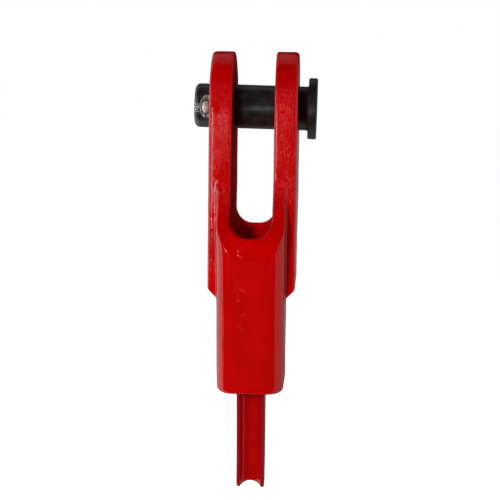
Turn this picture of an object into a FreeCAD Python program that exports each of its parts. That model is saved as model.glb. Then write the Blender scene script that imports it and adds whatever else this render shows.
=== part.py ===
import FreeCAD, Part
import math
import os
import re
import Sketcher

# Wedge socket for 13 mm wire rope: a cast socket with two ears and a tapered bowl, the cast wedge
# that sits in the bowl, the clevis pin across the ears and the split pin that keeps it there.
# The origin is the middle of the pin joint. +X runs along the pin towards its head, +Z up towards
# the load, and -Y is the sloping side of the bowl, where the dead end of the rope leaves.

# A cut runs this far past the faces that it opens.
CUT_MARGIN = 2.0
# Two corners nearer to each other than this are the same corner.
SAME_PLACE = 0.01
# Two rounds that share a wall take up at most this part of it.
WALL_SHARE = 0.95
# The foot of the cross hole's flare is an oval inside the hole, this much of its radius wide and high.
FOOT_WIDTH_SHARE = 0.5
FOOT_HEIGHT_SHARE = 0.7

# Driving dimensions in millimetres, and angles in degrees.
# A reach is measured sideways from the pin's centre, and a drop is measured down from it.
SIZES = {
    "jaw_gap": 24.0,
    "ear_thickness": 13.1,
    "ear_radius": 32.0,
    "ear_edge_round": 2.2,
    "plate_drop": 102.5,
    "plate_toe_round": 4.0,
    "plate_corner_round": 6.0,
    "flare_drop": 44.0,
    "flare_round": 24.0,
    "bulge_reach": 52.0,
    "bulge_drop": 76.0,
    "bulge_round": 26.0,
    "mouth_reach": 36.0,
    "body_drop": 163.5,
    "back_reach": 17.0,
    "back_flare_drop": 50.0,
    "back_drop": 96.0,
    "back_round": 30.0,
    "bowl_width": 39.0,
    "bowl_corner_round": 11.0,
    "mouth_edge_round": 3.2,
    "slot_drop": 71.0,
    "slot_corner_round": 10.0,
    "cavity_width": 18.0,
    "channel_back": 7.0,
    "channel_front": 25.0,
    "mouth_inner_round": 1.5,
    "wedge_angle": 10.0,
    "wedge_side_gap": 0.7,
    "rim_round": 1.0,
    "seat_gap": 0.3,
    "head_drop": 92.0,
    "head_round": 14.0,
    "taper_below_mouth": 41.4,
    "tail_length": 22.1,
    "tail_round": 6.0,
    "tail_blend_round": 60.0,
    "groove_rim": 1.98,
    "groove_depth": 4.0,
    "pin_diameter": 25.4,
    "bore_play": 1.6,
    "pin_tilt": 1.0,
    "pin_end_round": 3.0,
    "pin_end_stand_out": 10.0,
    "head_stand_off": 5.5,
    "head_diameter": 35.4,
    "head_thickness": 5.1,
    "head_edge_round": 0.9,
    "neck_round": 1.0,
    "cotter_diameter": 4.0,
    "cotter_split": 0.2,
    "cotter_play": 0.6,
    "cotter_stand_off": 0.8,
    "sink_half_width": 3.4,
    "sink_half_height": 6.0,
    "sink_depth": 5.0,
    "eye_sunk": 0.9,
    "eye_throat": 2.0,
    "eye_throat_round": 1.0,
    "eye_reach": 4.3,
    "eye_half_height": 1.4,
    "eye_half_tip": 0.1,
    "leg_bend_slack": 0.4,
    "leg_length": 9.0,
    "leg_spread": 50.0,
}

# Values that follow from the driving dimensions, in the order in which they need each other.
LAYOUT = {
    "across_ears": "jaw_gap + 2 * ear_thickness",
    "overhang": "(across_ears - bowl_width) / 2",
    "ear_edge_radius": f"min(ear_edge_round; {WALL_SHARE} * overhang / 2)",
    "plate_foot": "plate_drop + overhang + plate_toe_round",
    "back_slope": "(ear_radius - back_reach) / (back_drop - back_flare_drop)",
    "plate_back_reach": "back_reach - (plate_foot - back_drop) * back_slope",
    "front_lean": "atan((bulge_reach - mouth_reach) / (body_drop - bulge_drop))",
    "wedge_slope": "tan(wedge_angle)",
    "channel_radius": "cavity_width / 2",
    "cavity_top": "slot_drop - slot_corner_round",
    "cavity_foot": f"body_drop + {CUT_MARGIN}",
    "cavity_top_front": "channel_front + (body_drop - cavity_top) * wedge_slope",
    "cavity_foot_front": "channel_front + (body_drop - cavity_foot) * wedge_slope",
    "wedge_thickness": "cavity_width - 2 * wedge_side_gap",
    "rim_half": "wedge_thickness / 2 - rim_round",
    "seat_reach": "channel_radius - rim_round - seat_gap",
    "seat_depth": "channel_radius - rim_round - sqrt(seat_reach * seat_reach - rim_half * rim_half)",
    "rim_back": "channel_back - seat_depth",
    "rim_front": "channel_front - seat_depth",
    "head_front": "rim_front + (body_drop - head_drop) * wedge_slope",
    "head_depth": "head_front + rim_back",
    "head_corner": f"min(head_round; {WALL_SHARE} * head_depth / (1 + tan(45 + wedge_angle / 2)))",
    "tail_front": "rim_front - taper_below_mouth * wedge_slope",
    "tail_depth": "tail_front + rim_back",
    "tail_corner": f"min(tail_round; {WALL_SHARE} * tail_depth / 2)",
    "tail_start": "body_drop + taper_below_mouth",
    "tail_drop": "tail_start + tail_length",
    "groove_half": "wedge_thickness / 2 - groove_rim",
    "groove_radius": "(groove_half * groove_half + groove_depth * groove_depth) / (2 * groove_depth)",
    "groove_offset": "groove_radius - groove_depth",
    "pin_radius": "pin_diameter / 2",
    "bore_radius": "(pin_diameter + bore_play) / 2",
    "pin_end": "across_ears / 2 + pin_end_stand_out",
    "head_face": "across_ears / 2 + head_stand_off",
    "cotter_place": "across_ears / 2 + cotter_stand_off + cotter_diameter / 2",
    "cotter_hole_radius": "(cotter_diameter + cotter_play) / 2",
    "sink_foot": "pin_radius - sink_depth",
    "sink_foot_width": f"{FOOT_WIDTH_SHARE} * cotter_hole_radius",
    "sink_foot_height": f"{FOOT_HEIGHT_SHARE} * cotter_hole_radius",
    "sink_rim_level": "sqrt(pin_radius * pin_radius - sink_half_height * sink_half_height) - sink_foot",
    "sink_outer": f"sink_depth + {CUT_MARGIN}",
    "sink_outer_width":
        "sink_foot_width + (sink_half_width - sink_foot_width) * sink_outer / sink_depth",
    "sink_outer_height":
        "sink_foot_height + (sink_half_height - sink_foot_height) * sink_outer / sink_rim_level",
    "half_split": "cotter_split / 2",
    "eye_start": "pin_radius - eye_sunk",
    "eye_front": "pin_radius + eye_reach",
    "leg_start": "pin_radius + cotter_diameter / 4",
}

doc = FreeCAD.newDocument("wedge_socket")
sizes = doc.addObject("Spreadsheet::Sheet", "Sizes")
for row, (alias, size) in enumerate(SIZES.items(), start=1):
    sizes.set(f"A{row}", alias)
    sizes.set(f"B{row}", str(size))
    sizes.setAlias(f"B{row}", alias)
doc.recompute()


def bound(expression):
    """Point each named size of an expression at the sheet or at the derived layout."""
    def owner(match):
        word = match.group(0)
        if word in SIZES:
            return f"Sizes.{word}"
        if word in LAYOUT:
            return f"Layout.{word}"
        return word
    return re.sub(r"[a-z_]+", owner, expression)


layout = doc.addObject("App::VarSet", "Layout")
for name, expression in LAYOUT.items():
    layout.addProperty("App::PropertyFloat", name, "Layout")
    layout.setExpression(name, bound(expression))
doc.recompute()


def value(expression):
    """The number that an expression of named sizes comes to."""
    result = layout.evalExpression(bound(expression))
    return float(getattr(result, "Value", result))


def new_body(name):
    body = doc.addObject("PartDesign::Body", name)
    body.Label = name
    return body


def new_sketch(body, name, plane, offsets=None):
    """A sketch on one of the body's own origin planes, moved, or turned about its across axis."""
    sketch = body.newObject("Sketcher::SketchObject", name)
    support = [f for f in body.Origin.OriginFeatures if f.Role == plane][0]
    sketch.AttachmentSupport = [(support, "")]
    sketch.MapMode = "FlatFace"
    sketch.AttachmentOffset = FreeCAD.Placement(
        FreeCAD.Vector(0, 0, 0), FreeCAD.Rotation(FreeCAD.Vector(1, 0, 0), 1))
    sketch.setExpression("AttachmentOffset.Rotation.Angle", "0")
    for path, expression in (offsets or {}).items():
        sketch.setExpression(f"AttachmentOffset.{path}", bound(expression))
    doc.recompute()
    return sketch


def hold(sketch, kind, *members):
    """A constraint whose last member is an expression of named sizes."""
    geometry, expression = members[:-1], members[-1]
    index = sketch.addConstraint(Sketcher.Constraint(kind, *geometry, value(expression)))
    sketch.setExpression(f"Constraints[{index}]", bound(expression))


def hold_point(sketch, geometry, end, across, up):
    """Place one point of a sketch by its two distances from the sketch's origin."""
    hold(sketch, "DistanceX", -1, 1, geometry, end, across)
    hold(sketch, "DistanceY", -1, 1, geometry, end, up)


def corner_tangents(before, corner, after, radius):
    """Where an arc of this radius leaves the two lines that meet at a corner."""
    arriving = (before - corner).normalize()
    leaving = (after - corner).normalize()
    half_angle = arriving.getAngle(leaving) / 2
    along = radius / math.tan(half_angle)
    start = corner + arriving * along
    stop = corner + leaving * along
    inward = (arriving + leaving).normalize()
    middle = corner + inward * (radius / math.sin(half_angle) - radius)
    return start, middle, stop


def draw_outline(sketch, corners, closed=True):
    """Straight lines between corners. A corner is (across, up) or (across, up, radius)."""
    places = [FreeCAD.Vector(value(c[0]), value(c[1]), 0) for c in corners]
    count = len(corners)
    arcs = {}
    starts = list(places)
    stops = list(places)
    for i, corner in enumerate(corners):
        if len(corner) == 3:
            start, middle, stop = corner_tangents(
                places[i - 1], places[i], places[(i + 1) % count], value(corner[2]))
            arcs[i] = sketch.addGeometry(Part.Arc(start, middle, stop))
            starts[i] = start
            stops[i] = stop
    lines = {}
    for i in range(count if closed else count - 1):
        lines[i] = sketch.addGeometry(Part.LineSegment(stops[i], starts[(i + 1) % count]))
    for i, corner in enumerate(corners):
        arriving = lines.get((i - 1) % count)
        leaving = lines.get(i)
        if i in arcs:
            arc_starts = sketch.getPoint(arcs[i], 1).distanceToPoint(starts[i]) < SAME_PLACE
            first, last = (1, 2) if arc_starts else (2, 1)
            sketch.addConstraint(Sketcher.Constraint("Tangent", arriving, 2, arcs[i], first))
            sketch.addConstraint(Sketcher.Constraint("Tangent", leaving, 1, arcs[i], last))
            hold(sketch, "Radius", arcs[i], corner[2])
            mark = sketch.addGeometry(Part.Point(places[i]), True)
            hold_point(sketch, mark, 1, corner[0], corner[1])
            sketch.addConstraint(Sketcher.Constraint("PointOnObject", mark, 1, arriving))
            sketch.addConstraint(Sketcher.Constraint("PointOnObject", mark, 1, leaving))
        elif leaving is None:
            hold_point(sketch, arriving, 2, corner[0], corner[1])
        else:
            hold_point(sketch, leaving, 1, corner[0], corner[1])
            if arriving is not None:
                sketch.addConstraint(Sketcher.Constraint("Coincident", arriving, 2, leaving, 1))


def draw_circle(sketch, across, up, radius):
    centre = FreeCAD.Vector(value(across), value(up), 0)
    circle = sketch.addGeometry(Part.Circle(centre, FreeCAD.Vector(0, 0, 1), value(radius)))
    hold_point(sketch, circle, 3, across, up)
    hold(sketch, "Radius", circle, radius)


def draw_ellipse(sketch, half_width, half_height):
    """An upright ellipse round the sketch's origin."""
    ellipse = sketch.addGeometry(Part.Ellipse(
        FreeCAD.Vector(0, value(half_height), 0), FreeCAD.Vector(value(half_width), 0, 0),
        FreeCAD.Vector(0, 0, 0)))
    sketch.exposeInternalGeometry(ellipse)
    long_axis = ellipse + 1
    short_axis = ellipse + 2
    hold_point(sketch, ellipse, 3, "0", "0")
    sketch.addConstraint(Sketcher.Constraint("Vertical", long_axis))
    hold(sketch, "Distance", long_axis, f"2 * ({half_height})")
    hold(sketch, "Distance", short_axis, f"2 * ({half_width})")


def draw_stadium(sketch, low, high, radius):
    """Two half circles joined by straight sides, from low to high along the sketch's up axis."""
    half = value(radius)
    normal = FreeCAD.Vector(0, 0, 1)
    bottom_centre = FreeCAD.Vector(0, value(low) + half, 0)
    top_centre = FreeCAD.Vector(0, value(high) - half, 0)
    side = FreeCAD.Vector(half, 0, 0)
    bottom = sketch.addGeometry(
        Part.ArcOfCircle(Part.Circle(bottom_centre, normal, half), math.pi, 2 * math.pi))
    right = sketch.addGeometry(Part.LineSegment(bottom_centre + side, top_centre + side))
    top = sketch.addGeometry(Part.ArcOfCircle(Part.Circle(top_centre, normal, half), 0, math.pi))
    left = sketch.addGeometry(Part.LineSegment(top_centre - side, bottom_centre - side))
    joints = ((bottom, 2, right, 1), (right, 2, top, 1), (top, 2, left, 1), (left, 2, bottom, 1))
    for joint in joints:
        sketch.addConstraint(Sketcher.Constraint("Tangent", *joint))
    hold_point(sketch, bottom, 3, "0", f"{low} + {radius}")
    hold_point(sketch, top, 3, "0", f"{high} - {radius}")
    hold(sketch, "Radius", bottom, radius)
    hold(sketch, "Radius", top, radius)


def pad_across(body, sketch, name, width):
    """Thicken a sketch by the same amount to both sides of its plane."""
    pad = body.newObject("PartDesign::Pad", name)
    pad.Profile = sketch
    pad.SideType = "Symmetric"
    pad.setExpression("Length", bound(width))
    doc.recompute()
    return pad


def cut_through(body, sketch, name):
    """Cut a sketch through everything, to both sides of its plane."""
    pocket = body.newObject("PartDesign::Pocket", name)
    pocket.Profile = sketch
    pocket.Type = "ThroughAll"
    pocket.SideType = "Symmetric"
    doc.recompute()
    return pocket


def round_edges(body, name, radius, wanted):
    """Round the edges of the body as it is now that a test picks by their points."""
    base = body.Tip
    picked = []
    for number, edge in enumerate(base.Shape.Edges, start=1):
        if wanted([vertex.Point for vertex in edge.Vertexes] + [edge.CenterOfMass]):
            picked.append(f"Edge{number}")
    fillet = body.newObject("PartDesign::Fillet", name)
    fillet.Base = (base, picked)
    fillet.setExpression("Radius", bound(radius))
    doc.recompute()
    return fillet


def near(measured, expression):
    return abs(measured - value(expression)) < SAME_PLACE


def make_socket_body():
    """The casting: bowl, plates and ears, then the slot, bores and tapered cavity cut from it."""
    body = new_body("socket_body")
    bowl = new_sketch(body, "bowl_profile", "YZ_Plane")
    draw_outline(bowl, [
        ("-ear_radius", "0"),
        ("-ear_radius", "-flare_drop", "flare_round"),
        ("-bulge_reach", "-bulge_drop", "bulge_round"),
        ("-mouth_reach", "-body_drop"),
        ("back_reach", "-body_drop"),
        ("back_reach", "-back_drop", "back_round"),
        ("ear_radius", "-back_flare_drop", "back_round"),
        ("ear_radius", "0"),
    ])
    pad_across(body, bowl, "bowl", "bowl_width")

    front_corners = new_sketch(body, "front_corners", "XY_Plane", {
        "Base.y": "-mouth_reach",
        "Base.z": "-body_drop",
        "Rotation.Angle": "front_lean",
    })
    draw_bowl_corners(front_corners, inward="1")
    cut_through(body, front_corners, "front_corner_rounds")

    back_corners = new_sketch(body, "back_corners", "XY_Plane", {"Base.y": "back_reach"})
    draw_bowl_corners(back_corners, inward="-1")
    cut_through(body, back_corners, "back_corner_rounds")

    round_edges(body, "mouth_edge", "mouth_edge_round",
                lambda points: all(near(p.z, "-body_drop") for p in points))

    plates = new_sketch(body, "plate_profile", "YZ_Plane")
    draw_outline(plates, [
        ("-ear_radius", "0"),
        ("-ear_radius", "-plate_foot", "plate_corner_round"),
        ("plate_back_reach", "-plate_foot", "plate_corner_round"),
        ("ear_radius", "-back_flare_drop", "back_round"),
        ("ear_radius", "0"),
    ])
    pad_across(body, plates, "plates", "across_ears")

    ears = new_sketch(body, "ear_profile", "YZ_Plane")
    draw_circle(ears, "0", "0", "ear_radius")
    pad_across(body, ears, "ears", "across_ears")

    bevels = new_sketch(body, "plate_bevels", "XZ_Plane")
    for side in ("1", "-1"):
        draw_outline(bevels, [
            (f"{side} * (across_ears / 2 + {CUT_MARGIN})", f"-(plate_drop - {CUT_MARGIN})"),
            (f"{side} * bowl_width / 2", "-(plate_drop + overhang)", "plate_toe_round"),
            (f"{side} * bowl_width / 2", f"-(plate_foot + {CUT_MARGIN})"),
            (f"{side} * (across_ears / 2 + {CUT_MARGIN})", f"-(plate_foot + {CUT_MARGIN})"),
        ])
    cut_through(body, bevels, "plate_bevel_cut")

    round_edges(body, "ear_edges", "ear_edge_radius",
                lambda points: all(near(abs(p.x), "across_ears / 2") for p in points)
                and not all(near(p.z, "-plate_drop") for p in points))

    slot = new_sketch(body, "slot_profile", "XZ_Plane")
    draw_outline(slot, [
        ("jaw_gap / 2", f"ear_radius + {CUT_MARGIN}"),
        ("-jaw_gap / 2", f"ear_radius + {CUT_MARGIN}"),
        ("-jaw_gap / 2", "-slot_drop", "slot_corner_round"),
        ("jaw_gap / 2", "-slot_drop", "slot_corner_round"),
    ])
    cut_through(body, slot, "jaw_slot")

    bore = new_sketch(body, "bore_profile", "YZ_Plane")
    draw_circle(bore, "0", "0", "bore_radius")
    cut_through(body, bore, "pin_bores")

    sections = []
    for end in ("top", "foot"):
        section = new_sketch(body, f"cavity_{end}_section", "XY_Plane",
                             {"Base.z": f"-cavity_{end}"})
        draw_stadium(section, f"-cavity_{end}_front", "channel_back", "channel_radius")
        sections.append(section)
    cavity = body.newObject("PartDesign::SubtractiveLoft", "cavity")
    cavity.Profile = sections[0]
    cavity.Sections = [sections[1]]
    cavity.Ruled = True
    doc.recompute()

    round_edges(body, "mouth_inner_edge", "mouth_inner_round",
                lambda points: all(near(p.z, "-body_drop") for p in points)
                and all(abs(p.x) < value("channel_radius") + SAME_PLACE for p in points))
    return body


def draw_bowl_corners(sketch, inward):
    """What lies outside the bowl's two round corners, with the bowl on the inward side."""
    margin = f"-{inward} * {CUT_MARGIN}"
    for side in ("1", "-1"):
        edge = f"{side} * bowl_width / 2"
        outside = f"{side} * (bowl_width / 2 + {CUT_MARGIN})"
        round_start = f"{side} * (bowl_width / 2 - bowl_corner_round - {CUT_MARGIN})"
        depth = f"{inward} * (bowl_corner_round + {CUT_MARGIN})"
        draw_corner_cut(sketch, edge, outside, round_start, margin, depth)


def draw_corner_cut(sketch, edge, outside, round_start, margin, depth):
    """An L of two thin strips along a corner, with the corner's quarter circle between them."""
    draw_outline(sketch, [
        (round_start, margin),
        (outside, margin),
        (outside, depth),
        (edge, depth),
        (edge, "0", "bowl_corner_round"),
        (round_start, "0"),
    ])


def make_wedge():
    """The cast wedge: a tapered plate with a round head, a long tail and a rope groove."""
    body = new_body("wedge")
    plate = new_sketch(body, "wedge_profile", "YZ_Plane")
    draw_outline(plate, wedge_corners("0"))
    pad_across(body, plate, "wedge_plate", "wedge_thickness")
    round_edges(body, "rim_edges", "rim_round",
                lambda points: all(near(abs(p.x), "wedge_thickness / 2") for p in points))

    path = new_sketch(body, "groove_path", "YZ_Plane")
    draw_outline(path, [("rim_back + groove_offset", "-body_drop")] + wedge_corners("groove_offset"))
    section = new_sketch(body, "groove_section", "XY_Plane", {"Base.z": "-body_drop"})
    draw_circle(section, "0", "rim_back + groove_offset", "groove_radius")
    groove = body.newObject("PartDesign::SubtractivePipe", "rope_groove")
    groove.Profile = section
    groove.Spine = (path, [])
    doc.recompute()
    return body


def wedge_corners(offset):
    """The wedge's side outline, or a line outside it by an offset, from the tail round to the head."""
    lean_shift = f"{offset} / cos(wedge_angle)"
    blend = f"{offset} * tan(wedge_angle / 2)"
    return [
        (f"rim_back + {offset}", f"-(tail_drop + {offset})", f"tail_corner + {offset}"),
        (f"-(tail_front + {offset})", f"-(tail_drop + {offset})", f"tail_corner + {offset}"),
        (f"-(tail_front + {offset})", f"-(tail_start - {blend})", f"tail_blend_round - {offset}"),
        (f"-(head_front + {offset} * wedge_slope + {lean_shift})", f"-(head_drop - {offset})",
         f"head_corner + {offset}"),
        (f"rim_back + {offset}", f"-(head_drop - {offset})", f"head_corner + {offset}"),
    ]


def lean_of_pin():
    """The pin lies a little askew in its wide bores, with its head down."""
    return FreeCAD.Placement(
        FreeCAD.Vector(0, 0, 0), FreeCAD.Rotation(FreeCAD.Vector(0, 1, 0), value("pin_tilt")))


def make_clevis_pin():
    """The turned pin: shank, flat round head, rounded end and a countersunk cross hole."""
    body = new_body("clevis_pin")
    profile = new_sketch(body, "pin_profile", "XZ_Plane")
    draw_outline(profile, [
        ("-pin_end", "0"),
        ("-pin_end", "pin_radius", "pin_end_round"),
        ("head_face", "pin_radius", "neck_round"),
        ("head_face", "head_diameter / 2", "head_edge_round"),
        ("head_face + head_thickness", "head_diameter / 2", "head_edge_round"),
        ("head_face + head_thickness", "0"),
    ])
    turned = body.newObject("PartDesign::Revolution", "turned_pin")
    turned.Profile = profile
    turned.ReferenceAxis = (profile, ["H_Axis"])
    doc.recompute()

    hole = new_sketch(body, "cross_hole_profile", "XZ_Plane", {"Base.x": "-cotter_place"})
    draw_circle(hole, "0", "0", "cotter_hole_radius")
    cut_through(body, hole, "cross_hole")
    for end, side in (("front", "1"), ("back", "-1")):
        cut_sink(body, end, side)
    body.Placement = lean_of_pin()
    return body


def cut_sink(body, end, side):
    """The worn flare at one end of the cross hole, longer round the pin than along it."""
    rim = new_sketch(body, f"{end}_sink_rim", "XZ_Plane",
                     {"Base.x": "-cotter_place", "Base.z": f"{side} * (sink_foot + sink_outer)"})
    draw_ellipse(rim, "sink_outer_width", "sink_outer_height")
    foot = new_sketch(body, f"{end}_sink_foot", "XZ_Plane",
                      {"Base.x": "-cotter_place", "Base.z": f"{side} * sink_foot"})
    draw_ellipse(foot, "sink_foot_width", "sink_foot_height")
    sink = body.newObject("PartDesign::SubtractiveLoft", f"{end}_sink")
    sink.Profile = rim
    sink.Sections = [foot]
    sink.Ruled = True
    doc.recompute()


def make_cotter_pin():
    """The split pin: half-round wire folded into an eye, with its two legs spread behind."""
    body = new_body("cotter_pin")
    path = new_sketch(body, "wire_path", "YZ_Plane", {"Base.z": "-cotter_place"})
    bend = "cotter_diameter / 2 + leg_bend_slack"
    tip_along = "leg_start + leg_length * cos(leg_spread)"
    tip_up = "half_split + leg_length * sin(leg_spread)"
    upper = [
        (tip_along, tip_up),
        ("leg_start", "half_split", bend),
        ("-eye_start", "half_split", bend),
        ("-(eye_start + eye_throat)", "eye_half_height", "eye_throat_round"),
        ("-eye_front", "eye_half_height", "eye_half_height - eye_half_tip"),
    ]
    lower = [(c[0], f"-({c[1]})", *c[2:]) for c in reversed(upper)]
    draw_outline(path, upper + lower, closed=False)

    section = new_sketch(body, "wire_section", "XY_Plane", {
        "Base.x": "-cotter_place",
        "Base.y": tip_along,
        "Base.z": tip_up,
        "Rotation.Angle": "leg_spread - 90",
    })
    draw_half_disc(section, "cotter_diameter / 2")
    wire = body.newObject("PartDesign::AdditivePipe", "bent_wire")
    wire.Profile = section
    wire.Spine = (path, [])
    doc.recompute()
    body.Placement = lean_of_pin()
    return body


def draw_half_disc(sketch, radius):
    """A half disc on the sketch's down side, with the middle of its flat at the origin."""
    half = value(radius)
    centre = FreeCAD.Vector(0, 0, 0)
    circle = Part.Circle(centre, FreeCAD.Vector(0, 0, 1), half)
    arc = sketch.addGeometry(Part.ArcOfCircle(circle, math.pi, 2 * math.pi))
    flat = sketch.addGeometry(
        Part.LineSegment(FreeCAD.Vector(half, 0, 0), FreeCAD.Vector(-half, 0, 0)))
    hold_point(sketch, arc, 3, "0", "0")
    hold(sketch, "Radius", arc, radius)
    sketch.addConstraint(Sketcher.Constraint("Coincident", arc, 2, flat, 1))
    sketch.addConstraint(Sketcher.Constraint("Coincident", arc, 1, flat, 2))
    sketch.addConstraint(Sketcher.Constraint("Horizontal", flat))
    sketch.addConstraint(Sketcher.Constraint("PointOnObject", arc, 3, flat))


def check_and_write(parts):
    """Stop on any failed object or bad shape, then write one file for each piece."""
    doc.recompute()
    failed = [o.Name for o in doc.Objects if "Invalid" in o.State or "Error" in o.State]
    if failed:
        raise RuntimeError(f"failed objects: {failed}")
    os.makedirs("parts", exist_ok=True)
    for part in parts:
        shape = part.Shape
        if shape.isNull() or not shape.isValid() or len(shape.Solids) != 1:
            raise RuntimeError(f"bad shape: {part.Label}")
        shape.exportStep(f"parts/{part.Label}.step")
        box = shape.BoundBox
        print(f"{part.Label}: {shape.Volume / 1000:.2f} cm3, "
              f"X {box.XMin:.1f} {box.XMax:.1f}, Y {box.YMin:.1f} {box.YMax:.1f}, "
              f"Z {box.ZMin:.1f} {box.ZMax:.1f}")


check_and_write([make_socket_body(), make_wedge(), make_clevis_pin(), make_cotter_pin()])
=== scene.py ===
import math

import bmesh
import bpy
from mathutils import Matrix, Vector, noise


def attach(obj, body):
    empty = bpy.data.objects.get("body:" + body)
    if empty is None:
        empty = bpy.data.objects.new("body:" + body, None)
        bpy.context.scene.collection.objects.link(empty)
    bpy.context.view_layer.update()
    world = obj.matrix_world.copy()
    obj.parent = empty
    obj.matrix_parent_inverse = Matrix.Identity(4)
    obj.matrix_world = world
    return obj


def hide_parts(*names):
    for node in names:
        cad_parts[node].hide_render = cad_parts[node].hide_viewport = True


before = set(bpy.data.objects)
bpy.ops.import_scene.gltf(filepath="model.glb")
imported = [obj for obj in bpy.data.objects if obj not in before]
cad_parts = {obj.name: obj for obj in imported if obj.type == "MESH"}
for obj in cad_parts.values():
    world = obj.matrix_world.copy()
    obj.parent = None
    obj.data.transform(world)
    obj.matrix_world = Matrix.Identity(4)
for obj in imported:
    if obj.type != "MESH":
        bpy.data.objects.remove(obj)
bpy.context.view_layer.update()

MM = 0.001

# Where the photograph was taken from. The picture's numbers are for an image 500 pixels wide.
VIEW_YAW = math.radians(2.99)
VIEW_PITCH = math.radians(8.75)
VIEW_ROLL = math.radians(0.71)
VIEW_DISTANCE = 0.9
VIEW_END = 50
SENSOR_WIDTH = 36.0
IMAGE_WIDTH = 500
FOCAL_PIXELS = 1546.1
PIN_CENTRE_PIXEL = (255.73, 106.92)

# The floor lies below the hanging object, and its own glow lifts it to white for the camera.
FLOOR_DROP = 0.42
FLOOR_HALF_WIDTH = 6.0
FLOOR_GLOW = 0.95

# The lamps: name, place and side in metres, power in watts, and whether gloss mirrors the lamp.
LAMPS = (
    ("key", (-0.27, -1.08, 0.2), 0.1, 8.5, False),
    ("left_wall", (-1.0, -0.2, 0.1), 0.8, 2.5, True),
    ("right_wall", (1.0, 0.0, 0.1), 0.8, 3.4, False),
    ("front_left", (-0.42, -1.0, -0.1), 0.2, 1.1, True),
    ("top_back", (-0.21, 0.7, 0.75), 0.04, 6.5, False),
)
LAMP_TARGET = Vector((0, 0, -0.09))
AMBIENT_LEVEL = 0.06

# The studio that gloss mirrors, over the parts of a direction: X right, Y back and Z up. Level 1,
# which the left wall has, is white.
WALLS_X = (-0.5, 0.5)
WALL_LEVELS = (1.0, 0.38)
CEILING_Z = (0.25, 0.8)
CEILING_LEVELS = (1.0, 0.22)
# The back begins at the first of these and is whole at the second.
BACK_Y = (0.6, 0.88)
# How much of the light the back takes away, below the horizon and above it.
HORIZON_Z = (-0.08, 0.0)
BACK_SHADES = (0.66, 0.98)
# The floor's dim middle begins at the first of each pair and is whole at the second.
UNDER_Z = (-0.2, -0.5)
UNDER_SIDE = (0.5, 0.2)
UNDER_LEVELS = (1.0, 0.35)
# The dark end on the camera's side goes over into light between these two. Its edge leans with the
# steepness, to the right, and above the horizon.
DARK_END_EDGE = (-0.445, -0.405)
DARK_END_LEANS = (-0.3, 0.125, -0.39)
LEAST_LEVEL = 0.004

# Where the marks in the paint lie. Each pair says where a mark is absent and where it is full. Feet
# and tops are heights from the pin, fronts are on Y, and sides are distances from a middle.
ROUGH_SKIN_AND_SHEEN_FOOT = (-60 * MM, -44 * MM)
ROUGH_SKIN_AND_SHEEN_TOP = (18 * MM, 8 * MM)
RUNS_MIDDLE = -4.5 * MM
RUNS_SIDE = (3.5 * MM, 1.5 * MM)
RUNS_FRONT = (-15 * MM, -20 * MM)
RUNS_FOOT = (-148 * MM, -90 * MM)
RUNS_TOP = (-74 * MM, -80 * MM)
TAIL_RIM_SIDE = (5.2 * MM, 5.8 * MM)
TAIL_TOP = (-166 * MM, -168 * MM)
TAIL_RIM_TURN = (0.15, 0.45)

# Runs are this much as pale and dull as the flecks. Their paleness is painted highlight on the lumps.
RUNS_SHARE = 0.15

# Where the rounds in the jaw's lower corners have their centres, across and up, as in the solid.
JAW_CORNER = (2.0 * MM, -61.0 * MM)
JAW_CORNER_ROUND = 10.0 * MM
# The thin coat inside the jaw, and what it adds to the roughness of the paint.
JAW_COAT_EDGE = (JAW_CORNER_ROUND + 0.5 * MM, JAW_CORNER_ROUND + 0.2 * MM)
JAW_COAT_ROUGHNESS = 0.86

# The oval mouth of the pin's cross hole, across and up, as in the solid.
HOLE_CENTRE = (-27.9 * MM, 0.5 * MM)
HOLE_HALF_WIDTH = 3.4 * MM
HOLE_HALF_HEIGHT = 6.0 * MM
# The wear on it, over the distance from its centre, which is 1 on the oval.
FLARE_REACH = (0.4, 0.95)
RIM_REACH = (1.16, 1.04)
# The scratches beside it, from its centre. They also paint the glint on the pin's front near its end.
SCRATCHES_AND_GLINT_SIDE = (-3.4 * MM, -4.2 * MM)
SCRATCHES_AND_GLINT_FRONT = (-9.0 * MM, -11.0 * MM)
SCRATCHES_AND_GLINT_FOOT = (-5.0 * MM, -3.0 * MM)
SCRATCHES_AND_GLINT_TOP = (3.0 * MM, 1.0 * MM)

# The swells of the cast surface lie this far apart. The short ones are half as high.
LONG_SWELLS = 22 * MM
SHORT_SWELLS = 8 * MM
SHORT_SWELLS_SHARE = 0.5

# The colour sockets of a Mix node, whose names its other sockets share.
MIX_FIRST = 6
MIX_SECOND = 7
MIX_RESULT = 2


def linear(hex_colour):
    """An sRGB hex colour as the linear colour that a shader takes."""
    channels = [int(hex_colour[i:i + 2], 16) / 255 for i in (1, 3, 5)]
    return [c / 12.92 if c <= 0.04045 else ((c + 0.055) / 1.055) ** 2.4 for c in channels] + [1.0]


WHITE = linear("#FFFFFF")


def add_node(tree, kind, settings=None, inputs=None, links=None):
    """A node with its settings, its input values and what feeds its inputs."""
    node = tree.nodes.new(kind)
    for name, setting in (settings or {}).items():
        setattr(node, name, setting)
    for name, amount in (inputs or {}).items():
        node.inputs[name].default_value = amount
    for name, source in (links or {}).items():
        tree.links.new(source, node.inputs[name])
    return node


def spans(source, result=(0.0, 1.0)):
    """The inputs with which a Map Range node takes one span of values to another."""
    return {"From Min": source[0], "From Max": source[1], "To Min": result[0], "To Max": result[1]}


def set_ramp(ramp, levels, colours):
    """Lets a colour ramp run from its first colour to its second, between two levels."""
    for element, level, colour in zip(ramp.color_ramp.elements, levels, colours):
        element.position = level
        element.color = linear(colour)


def product(tree, *factors):
    """Any number of values multiplied together."""
    result = factors[0]
    for factor in factors[1:]:
        result = add_node(tree, "ShaderNodeMath", {"operation": "MULTIPLY"},
                          links={0: result, 1: factor}).outputs["Value"]
    return result


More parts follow.
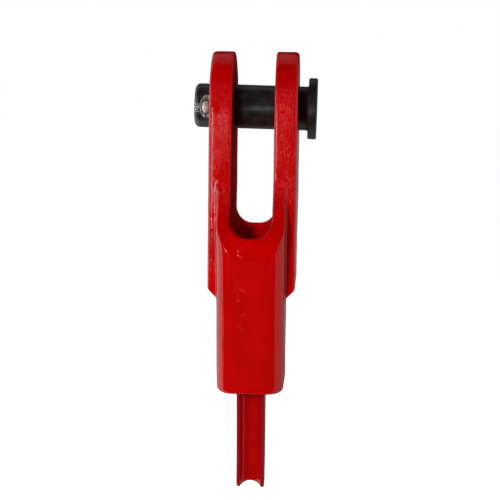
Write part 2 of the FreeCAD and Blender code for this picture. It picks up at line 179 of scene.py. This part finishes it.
def mask(tree, *steps):
    """1 where every value has reached its full level, 0 where one is still at its absent level, and
    soft between. Each step is a value with those two levels, and either one may be the higher."""
    return product(tree, *[
        add_node(tree, "ShaderNodeMapRange", {"interpolation_type": "SMOOTHSTEP"}, spans(levels),
                 {"Value": source}).outputs["Result"]
        for source, levels in steps
    ])


def new_material(name):
    material = bpy.data.materials.new(name)
    material.use_nodes = True
    material.node_tree.nodes.clear()
    return material, material.node_tree


def view_axes():
    """Right, up and forward of the camera, as the photograph has them."""
    across = Vector((math.cos(VIEW_YAW), math.sin(VIEW_YAW), 0))
    away = Vector((-math.sin(VIEW_YAW), math.cos(VIEW_YAW), 0))
    above = Vector((0, 0, 1))
    right = across * math.cos(VIEW_ROLL) + above * math.sin(VIEW_ROLL)
    leaning_up = above * math.cos(VIEW_ROLL) - across * math.sin(VIEW_ROLL)
    forward = away * math.cos(VIEW_PITCH) - leaning_up * math.sin(VIEW_PITCH)
    up = away * math.sin(VIEW_PITCH) + leaning_up * math.cos(VIEW_PITCH)
    return right, up, forward


def make_camera():
    right, up, forward = view_axes()
    shift_right = (PIN_CENTRE_PIXEL[0] - IMAGE_WIDTH / 2) / FOCAL_PIXELS * VIEW_DISTANCE
    shift_down = (PIN_CENTRE_PIXEL[1] - IMAGE_WIDTH / 2) / FOCAL_PIXELS * VIEW_DISTANCE
    data = bpy.data.cameras.new("photo_camera")
    data.sensor_width = SENSOR_WIDTH
    data.lens = FOCAL_PIXELS / IMAGE_WIDTH * SENSOR_WIDTH
    data.clip_end = VIEW_END
    camera = bpy.data.objects.new("photo_camera", data)
    place = -right * shift_right + up * shift_down - forward * VIEW_DISTANCE
    turn = Matrix((right, up, -forward)).transposed().to_4x4()
    camera.matrix_world = Matrix.Translation(place) @ turn
    bpy.context.collection.objects.link(camera)
    bpy.context.scene.camera = camera


def studio_level(tree, direction):
    """How bright the studio is in a direction, as the object's gloss shows it: two lit side walls,
    the left one brighter, a dimmer ceiling and back, and a dark end on the camera's side."""
    parts = add_node(tree, "ShaderNodeSeparateXYZ", links={"Vector": direction})
    rightward = parts.outputs["X"]
    backward = parts.outputs["Y"]
    upward = parts.outputs["Z"]
    sideways = add_node(tree, "ShaderNodeMath", {"operation": "ABSOLUTE"}, links={0: rightward})
    steepness = add_node(tree, "ShaderNodeMath", {"operation": "ABSOLUTE"}, links={0: upward})
    above = add_node(tree, "ShaderNodeMath", {"operation": "MAXIMUM"}, {1: 0.0}, {0: upward})
    edge = backward
    leaning = (steepness.outputs["Value"], rightward, above.outputs["Value"])
    for lean, source in zip(DARK_END_LEANS, leaning):
        edge = add_node(tree, "ShaderNodeMath", {"operation": "MULTIPLY_ADD"}, {1: lean},
                        {0: source, 2: edge}).outputs["Value"]
    walls = add_node(tree, "ShaderNodeMapRange", inputs=spans(WALLS_X, WALL_LEVELS),
                     links={"Value": rightward})
    ceiling = add_node(tree, "ShaderNodeMapRange", inputs=spans(CEILING_Z, CEILING_LEVELS),
                       links={"Value": upward})
    # The back is dim, and above the horizon nearly black.
    back_shade = add_node(tree, "ShaderNodeMapRange", {"interpolation_type": "SMOOTHSTEP"},
                          spans(HORIZON_Z, BACK_SHADES), {"Value": upward})
    back = add_node(tree, "ShaderNodeMath", {"operation": "SUBTRACT"}, {0: 1.0}, {
        1: product(tree, mask(tree, (backward, BACK_Y)), back_shade.outputs["Result"])})
    # The floor is dim as well, between the walls.
    under = mask(tree, (upward, UNDER_Z), (sideways.outputs["Value"], UNDER_SIDE))
    floor = add_node(tree, "ShaderNodeMapRange", inputs=spans((0.0, 1.0), UNDER_LEVELS),
                     links={"Value": under})
    level = product(tree, mask(tree, (edge, DARK_END_EDGE)), walls.outputs["Result"],
                    ceiling.outputs["Result"], back.outputs["Value"], floor.outputs["Result"])
    return add_node(tree, "ShaderNodeMath", {"operation": "ADD"}, {1: LEAST_LEVEL},
                    {0: level}).outputs["Value"]


def shown_by_ray(tree, lighting, mirrored, direct):
    """One shader for the light that falls on things, one for what gloss mirrors, and one for what
    the camera sees, by itself or through something clear."""
    path = add_node(tree, "ShaderNodeLightPath")
    seen = add_node(tree, "ShaderNodeMath", {"operation": "MAXIMUM"}, links={
        0: path.outputs["Is Camera Ray"], 1: path.outputs["Is Transmission Ray"]})
    unseen = add_node(tree, "ShaderNodeMixShader", links={
        0: path.outputs["Is Glossy Ray"], 1: lighting.outputs[0], 2: mirrored.outputs[0]})
    shown = add_node(tree, "ShaderNodeMixShader", links={
        0: seen.outputs["Value"], 1: unseen.outputs[0], 2: direct.outputs[0]})
    return shown.outputs[0]


def make_world():
    """A white surround that lights the object only a little, and that gloss sees as the studio."""
    world = bpy.data.worlds.new("studio")
    bpy.context.scene.world = world
    world.use_nodes = True
    tree = world.node_tree
    tree.nodes.clear()
    direction = add_node(tree, "ShaderNodeTexCoord").outputs["Generated"]
    ambient = add_node(tree, "ShaderNodeBackground", inputs={"Color": WHITE, "Strength": AMBIENT_LEVEL})
    mirrored = add_node(tree, "ShaderNodeBackground", inputs={"Color": WHITE},
                        links={"Strength": studio_level(tree, direction)})
    backdrop = add_node(tree, "ShaderNodeBackground", inputs={"Color": WHITE, "Strength": 1.0})
    add_node(tree, "ShaderNodeOutputWorld", links={
        "Surface": shown_by_ray(tree, ambient, mirrored, backdrop)})


def make_floor():
    """A pale floor under the hanging object. It shows white, and keeps what shadow falls on it."""
    material, tree = new_material("pale_floor")
    paper = add_node(tree, "ShaderNodeBsdfDiffuse", inputs={"Color": linear("#E8E8E8")})
    glow = add_node(tree, "ShaderNodeEmission", inputs={"Color": WHITE, "Strength": FLOOR_GLOW})
    glowing_paper = add_node(tree, "ShaderNodeAddShader", links={0: paper.outputs[0], 1: glow.outputs[0]})
    # Seen from the object, a point on the floor lies in the direction of its place.
    place = add_node(tree, "ShaderNodeTexCoord").outputs["Object"]
    direction = add_node(tree, "ShaderNodeVectorMath", {"operation": "NORMALIZE"}, links={0: place})
    mirrored = add_node(tree, "ShaderNodeEmission", inputs={"Color": WHITE}, links={
        "Strength": studio_level(tree, direction.outputs["Vector"])})
    add_node(tree, "ShaderNodeOutputMaterial", links={
        "Surface": shown_by_ray(tree, paper, mirrored, glowing_paper)})
    mesh = bpy.data.meshes.new("floor")
    corners = [(x * FLOOR_HALF_WIDTH, y * FLOOR_HALF_WIDTH, -FLOOR_DROP)
               for x, y in ((-1, -1), (1, -1), (1, 1), (-1, 1))]
    mesh.from_pydata(corners, [], [(0, 1, 2, 3)])
    mesh.materials.append(material)
    floor = bpy.data.objects.new("floor", mesh)
    bpy.context.collection.objects.link(floor)


def make_softbox(name, place, side, power, mirrored):
    """A square soft light that points at the middle of the object."""
    data = bpy.data.lights.new(name, "AREA")
    data.shape = "SQUARE"
    data.size = side
    data.energy = power
    light = bpy.data.objects.new(name, data)
    light.location = place
    aim = LAMP_TARGET - Vector(place)
    light.rotation_euler = aim.to_track_quat("-Z", "Y").to_euler()
    light.visible_camera = False
    light.visible_glossy = mirrored
    bpy.context.collection.objects.link(light)


def rough_skin_and_sheen(tree, pools, height):
    """How far the casting's rough skin shows through the paint: on the ears only, in patches, from
    about 52 mm below the pin to 13 mm above it. Its pale flecks are partly painted sheen."""
    patches = add_node(tree, "ShaderNodeMapRange", inputs=spans((0.4, 0.62), (0.25, 1.0)),
                       links={"Value": pools})
    on_ears = mask(tree, (height, ROUGH_SKIN_AND_SHEEN_FOOT), (height, ROUGH_SKIN_AND_SHEEN_TOP))
    return product(tree, on_ears, patches.outputs["Result"])


def bowl_runs(tree, place, parts):
    """Runs and nibs of about 2 mm, in one column down the bowl's front, left of its middle. They
    start about 76 mm below the pin and fade out at about 145 mm."""
    aside = add_node(tree, "ShaderNodeMath", {"operation": "SUBTRACT"}, {1: RUNS_MIDDLE},
                     {0: parts.outputs["X"]})
    off_column = add_node(tree, "ShaderNodeMath", {"operation": "ABSOLUTE"},
                          links={0: aside.outputs["Value"]})
    blobs = add_node(tree, "ShaderNodeTexNoise", inputs={"Scale": 1 / (3.4 * MM), "Detail": 0.0},
                     links={"Vector": place})
    return mask(
        tree,
        (blobs.outputs["Fac"], (0.57, 0.68)),
        (off_column.outputs["Value"], RUNS_SIDE),
        (parts.outputs["Y"], RUNS_FRONT),
        (parts.outputs["Z"], RUNS_FOOT),
        (parts.outputs["Z"], RUNS_TOP),
    )


def darker_tail_rims(tree, beside_middle, height):
    """Darker red on the rims of the wedge's tail, which face front and back, and not on its sides."""
    normal = add_node(tree, "ShaderNodeTexCoord").outputs["Normal"]
    turn = add_node(tree, "ShaderNodeSeparateXYZ", links={"Vector": normal})
    facing = add_node(tree, "ShaderNodeMath", {"operation": "ABSOLUTE"}, links={0: turn.outputs["Y"]})
    return mask(tree, (beside_middle, TAIL_RIM_SIDE), (height, TAIL_TOP),
                (facing.outputs["Value"], TAIL_RIM_TURN))


def jaw_coat(tree, beside_middle, height):
    """1 within the jaw's outline from the front, which is 24 mm across with two round lower
    corners."""
    past_corner = add_node(tree, "ShaderNodeMath", {"operation": "SUBTRACT"}, {1: JAW_CORNER[0]},
                           {0: beside_middle})
    beyond = add_node(tree, "ShaderNodeMath", {"operation": "MAXIMUM"}, {1: 0.0},
                      {0: past_corner.outputs["Value"]})
    over_corner = add_node(tree, "ShaderNodeMath", {"operation": "SUBTRACT"}, {1: JAW_CORNER[1]},
                           {0: height})
    below = add_node(tree, "ShaderNodeMath", {"operation": "MINIMUM"}, {1: 0.0},
                     {0: over_corner.outputs["Value"]})
    from_corner = add_node(tree, "ShaderNodeCombineXYZ", links={
        "X": beyond.outputs["Value"], "Z": below.outputs["Value"]})
    spread = add_node(tree, "ShaderNodeVectorMath", {"operation": "LENGTH"},
                      links={0: from_corner.outputs["Vector"]})
    return mask(tree, (spread.outputs["Value"], JAW_COAT_EDGE))


def make_enamel(name, thin, thick, gloss):
    """Red enamel brushed thickly over a casting: it is glossy, its colour thins and pools a little,
    it has small runs and nibs, and on the ears the casting's grain drags through it in paler, duller
    flecks. The flecks' paleness is partly painted sheen, and the paler tint of the runs is painted
    highlight on their lumps. Inside the jaw it is a thin, dull coat, and the rims of the wedge's tail
    are a darker red."""
    material, tree = new_material(name)
    place = add_node(tree, "ShaderNodeTexCoord").outputs["Object"]
    parts = add_node(tree, "ShaderNodeSeparateXYZ", links={"Vector": place})
    height = parts.outputs["Z"]
    beside_middle = add_node(tree, "ShaderNodeMath", {"operation": "ABSOLUTE"},
                             links={0: parts.outputs["X"]}).outputs["Value"]

    # Paint pools over spans of about 14 mm.
    pools = add_node(tree, "ShaderNodeTexNoise", inputs={"Scale": 1 / (14 * MM), "Detail": 4.0},
                     links={"Vector": place}).outputs["Fac"]
    pooled = add_node(tree, "ShaderNodeValToRGB", links={"Fac": pools})
    set_ramp(pooled, (0.3, 0.72), (thin, thick))

    # Brush drag marks are about 0.7 mm apart.
    drag = add_node(tree, "ShaderNodeMapping", inputs={"Scale": (1.0, 1.0, 0.5)}, links={"Vector": place})
    streaks = add_node(tree, "ShaderNodeTexNoise", inputs={
        "Scale": 1 / (0.7 * MM),
        "Detail": 5.0,
        "Roughness": 0.7,
    }, links={"Vector": drag.outputs["Vector"]}).outputs["Fac"]
    flecks = add_node(tree, "ShaderNodeMapRange", inputs=spans((0.47, 0.75)), links={"Value": streaks})
    grain_and_sheen = rough_skin_and_sheen(tree, pools, height)
    flecks_and_sheen = product(tree, grain_and_sheen, flecks.outputs["Result"])
    runs = bowl_runs(tree, place, parts)
    # Runs add a little of the pale colour, as painted highlight on their lumps.
    marks_and_sheen = add_node(tree, "ShaderNodeMath", {"operation": "MULTIPLY_ADD"}, {1: RUNS_SHARE},
                     {0: runs, 2: flecks_and_sheen}).outputs["Value"]

    # Pale flecks and runs: partly the grain's own paler tint, partly painted sheen on the ears and
    # painted highlight on the runs.
    marked_with_sheen = add_node(tree, "ShaderNodeMix", {"data_type": "RGBA"}, {MIX_SECOND: linear("#CE454B")},
                      {"Factor": marks_and_sheen, MIX_FIRST: pooled.outputs["Color"]})
    # The rims of the wedge's tail turn a darker red here.
    rims_darkened = add_node(tree, "ShaderNodeMix", {"data_type": "RGBA"}, {MIX_SECOND: linear("#900910")}, {
        "Factor": darker_tail_rims(tree, beside_middle, height),
        MIX_FIRST: marked_with_sheen.outputs[MIX_RESULT],
    })
    worn = add_node(tree, "ShaderNodeMapRange", inputs=spans((0.0, 1.0), (gloss, gloss + 0.3)),
                    links={"Value": marks_and_sheen})
    roughness = add_node(tree, "ShaderNodeMath", {"operation": "MULTIPLY_ADD"}, {1: JAW_COAT_ROUGHNESS}, {
        0: jaw_coat(tree, beside_middle, height),
        2: worn.outputs["Result"],
    })

    # Orange peel has cells of about 4 mm.
    peel = add_node(tree, "ShaderNodeTexNoise", inputs={"Scale": 1 / (4 * MM), "Detail": 3.0},
                    links={"Vector": place})
    peel_bump = add_node(tree, "ShaderNodeBump", inputs={"Strength": 0.6, "Distance": 0.25 * MM},
                         links={"Height": peel.outputs["Fac"]})
    run_bump = add_node(tree, "ShaderNodeBump", inputs={"Strength": 0.5, "Distance": 0.25 * MM},
                        links={"Height": runs, "Normal": peel_bump.outputs["Normal"]})
    grain_bump = add_node(tree, "ShaderNodeBump", inputs={"Distance": 0.12 * MM}, links={
        "Height": streaks,
        "Strength": grain_and_sheen,
        "Normal": run_bump.outputs["Normal"],
    })
    paint = add_node(tree, "ShaderNodeBsdfPrincipled", inputs={"IOR": 1.5}, links={
        "Base Color": rims_darkened.outputs[MIX_RESULT],
        "Roughness": roughness.outputs["Value"],
        "Normal": grain_bump.outputs["Normal"],
    })
    add_node(tree, "ShaderNodeOutputMaterial", links={"Surface": paint.outputs[0]})
    return material


def bared_steel_and_glint(tree, place, rings):
    """Where the oxide is gone, on the cross hole's rim and less so down its flare, and the bright
    scratches between the hole and the pin's end, on its front. Those scratches are partly knocks and
    partly a painted glint on the pin there."""
    from_hole = add_node(tree, "ShaderNodeVectorMath", {"operation": "SUBTRACT"},
                         {1: (HOLE_CENTRE[0], 0.0, HOLE_CENTRE[1])}, {0: place}).outputs["Vector"]
    in_oval = add_node(tree, "ShaderNodeVectorMath", {"operation": "MULTIPLY"},
                       {1: (1 / HOLE_HALF_WIDTH, 0.0, 1 / HOLE_HALF_HEIGHT)}, {0: from_hole})
    reach = add_node(tree, "ShaderNodeVectorMath", {"operation": "LENGTH"},
                     links={0: in_oval.outputs["Vector"]}).outputs["Value"]
    rubbed = mask(tree, (reach, FLARE_REACH), (reach, RIM_REACH), (rings, (0.3, 0.6)))
    parts = add_node(tree, "ShaderNodeSeparateXYZ", links={"Vector": from_hole})
    # The scratches are about 0.8 mm apart.
    scratches = add_node(tree, "ShaderNodeTexNoise", inputs={
        "Scale": 1 / (0.8 * MM),
        "Detail": 3.0,
        "Roughness": 0.7,
    }, links={"Vector": place})
    # Bright scratches, which also paint the glint on the pin's front near its end.
    scratched = mask(
        tree,
        (scratches.outputs["Fac"], (0.5, 0.62)),
        (parts.outputs["X"], SCRATCHES_AND_GLINT_SIDE),
        (parts.outputs["Y"], SCRATCHES_AND_GLINT_FRONT),
        (parts.outputs["Z"], SCRATCHES_AND_GLINT_FOOT),
        (parts.outputs["Z"], SCRATCHES_AND_GLINT_TOP),
    )
    return add_node(tree, "ShaderNodeMath", {"operation": "MAXIMUM"},
                    links={0: rubbed, 1: scratched}).outputs["Value"]


def make_black_oxide():
    """Turned steel with a black oxide finish: near black and satin, with fine rings round the axis
    that stretch its highlights along the pin. The cross hole's flare and rim are worn bright."""
    material, tree = new_material("black_oxide_steel")
    place = add_node(tree, "ShaderNodeTexCoord").outputs["Object"]
    # The oxide is cloudy over spans of about 6 mm.
    clouds = add_node(tree, "ShaderNodeTexNoise", inputs={"Scale": 1 / (6 * MM), "Detail": 4.0},
                      links={"Vector": place}).outputs["Fac"]
    clouded = add_node(tree, "ShaderNodeValToRGB", links={"Fac": clouds})
    set_ramp(clouded, (0.3, 0.75), ("#4A4E4F", "#6C7174"))
    roughness = add_node(tree, "ShaderNodeMapRange", inputs=spans((0.3, 0.7), (0.32, 0.44)),
                         links={"Value": clouds})
    # Turning usually leaves rings 0.1 to 0.2 mm apart. They are drawn 0.5 mm apart, to show.
    along = add_node(tree, "ShaderNodeMapping", inputs={"Scale": (1.0, 0.05, 0.05)},
                     links={"Vector": place})
    rings = add_node(tree, "ShaderNodeTexNoise", inputs={"Scale": 1 / (0.5 * MM), "Detail": 2.0},
                     links={"Vector": along.outputs["Vector"]}).outputs["Fac"]
    bump = add_node(tree, "ShaderNodeBump", inputs={"Strength": 0.3, "Distance": 0.05 * MM},
                    links={"Height": rings})
    bared_and_glint = bared_steel_and_glint(tree, place, rings)
    colour = add_node(tree, "ShaderNodeMix", {"data_type": "RGBA"}, {MIX_SECOND: linear("#D6D4D0")},
                      {"Factor": bared_and_glint, MIX_FIRST: clouded.outputs["Color"]})
    metallic = add_node(tree, "ShaderNodeMapRange", inputs=spans((0.0, 1.0), (0.9, 0.4)),
                        links={"Value": bared_and_glint})
    around = add_node(tree, "ShaderNodeTangent", {"direction_type": "RADIAL", "axis": "X"})
    steel = add_node(tree, "ShaderNodeBsdfPrincipled", inputs={
        "Anisotropic": 0.5,
        "Anisotropic Rotation": 0.25,
    }, links={
        "Metallic": metallic.outputs["Result"],
        "Base Color": colour.outputs[MIX_RESULT],
        "Roughness": roughness.outputs["Result"],
        "Normal": bump.outputs["Normal"],
        "Tangent": around.outputs["Tangent"],
    })
    add_node(tree, "ShaderNodeOutputMaterial", links={"Surface": steel.outputs[0]})
    return material


def make_bare_wire():
    """Bare drawn steel wire: pale, rubbed dull and a little scratched, so it mirrors only softly."""
    material, tree = new_material("bare_drawn_steel")
    place = add_node(tree, "ShaderNodeTexCoord").outputs["Object"]
    # Drawing usually leaves scratches finer than 0.1 mm. They are drawn 0.8 mm apart, to show.
    scratches = add_node(tree, "ShaderNodeTexNoise", inputs={"Scale": 1 / (0.8 * MM), "Detail": 4.0},
                         links={"Vector": place}).outputs["Fac"]
    scratched = add_node(tree, "ShaderNodeValToRGB", links={"Fac": scratches})
    set_ramp(scratched, (0.0, 1.0), ("#A9A8A4", "#E2E1DD"))
    roughness = add_node(tree, "ShaderNodeMapRange", inputs=spans((0.0, 1.0), (0.25, 0.45)),
                         links={"Value": scratches})
    wire = add_node(tree, "ShaderNodeBsdfPrincipled", inputs={"Metallic": 0.5}, links={
        "Base Color": scratched.outputs["Color"],
        "Roughness": roughness.outputs["Result"],
    })
    add_node(tree, "ShaderNodeOutputMaterial", links={"Surface": wire.outputs[0]})
    return material


def cast_skin(node_name, name, grain, rounding, swell):
    """The casting under its paint: the solid's shape with every edge and inner corner softened,
    and a surface that swells and sinks a little, as sand castings do."""
    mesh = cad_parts[node_name].data.copy()
    mesh.materials.clear()
    loose = bmesh.new()
    loose.from_mesh(mesh)
    bmesh.ops.remove_doubles(loose, verts=loose.verts, dist=0.001 * MM)
    loose.to_mesh(mesh)
    loose.free()
    piece = bpy.data.objects.new(name, mesh)
    bpy.context.collection.objects.link(piece)
    remesh = piece.modifiers.new("grain", "REMESH")
    remesh.mode = "VOXEL"
    remesh.voxel_size = grain
    smooth = piece.modifiers.new("rounding", "SMOOTH")
    smooth.factor = 0.5
    smooth.iterations = rounding
    shaped = bpy.data.meshes.new_from_object(
        piece.evaluated_get(bpy.context.evaluated_depsgraph_get()))
    piece.modifiers.clear()
    piece.data = shaped
    shaped.name = name
    normals = [vertex.normal.copy() for vertex in shaped.vertices]
    for vertex, normal in zip(shaped.vertices, normals):
        long_swell = noise.noise(vertex.co / LONG_SWELLS)
        short_swell = SHORT_SWELLS_SHARE * noise.noise(vertex.co / SHORT_SWELLS)
        vertex.co += normal * (long_swell + short_swell) * swell
    shaped.shade_smooth()
    return piece


def make_socket():
    skin = cast_skin("socket_body", "cast_socket", grain=0.85 * MM, rounding=3, swell=0.12 * MM)
    skin.data.materials.append(make_enamel("red_enamel_on_socket", "#AC0001", "#BE0102", gloss=0.1))
    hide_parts("socket_body")
    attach(skin, "socket")


def make_wedge():
    skin = cast_skin("wedge", "cast_wedge", grain=0.4 * MM, rounding=1, swell=0.06 * MM)
    # Painted shade: the wedge's red is a little darker than the socket's, for the shade it lies in.
    skin.data.materials.append(make_enamel("red_enamel_shaded_on_wedge", "#A00001", "#B00102", gloss=0.12))
    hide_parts("wedge")
    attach(skin, "loose_wedge")


def dress(node_name, material):
    """Gives a solid that shows itself its finish."""
    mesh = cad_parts[node_name].data
    mesh.materials.clear()
    mesh.materials.append(material)


make_camera()
make_world()
make_floor()
for lamp in LAMPS:
    make_softbox(*lamp)

make_socket()
make_wedge()
dress("clevis_pin", make_black_oxide())
dress("cotter_pin", make_bare_wire())

bpy.context.scene.view_settings.view_transform = "Standard"
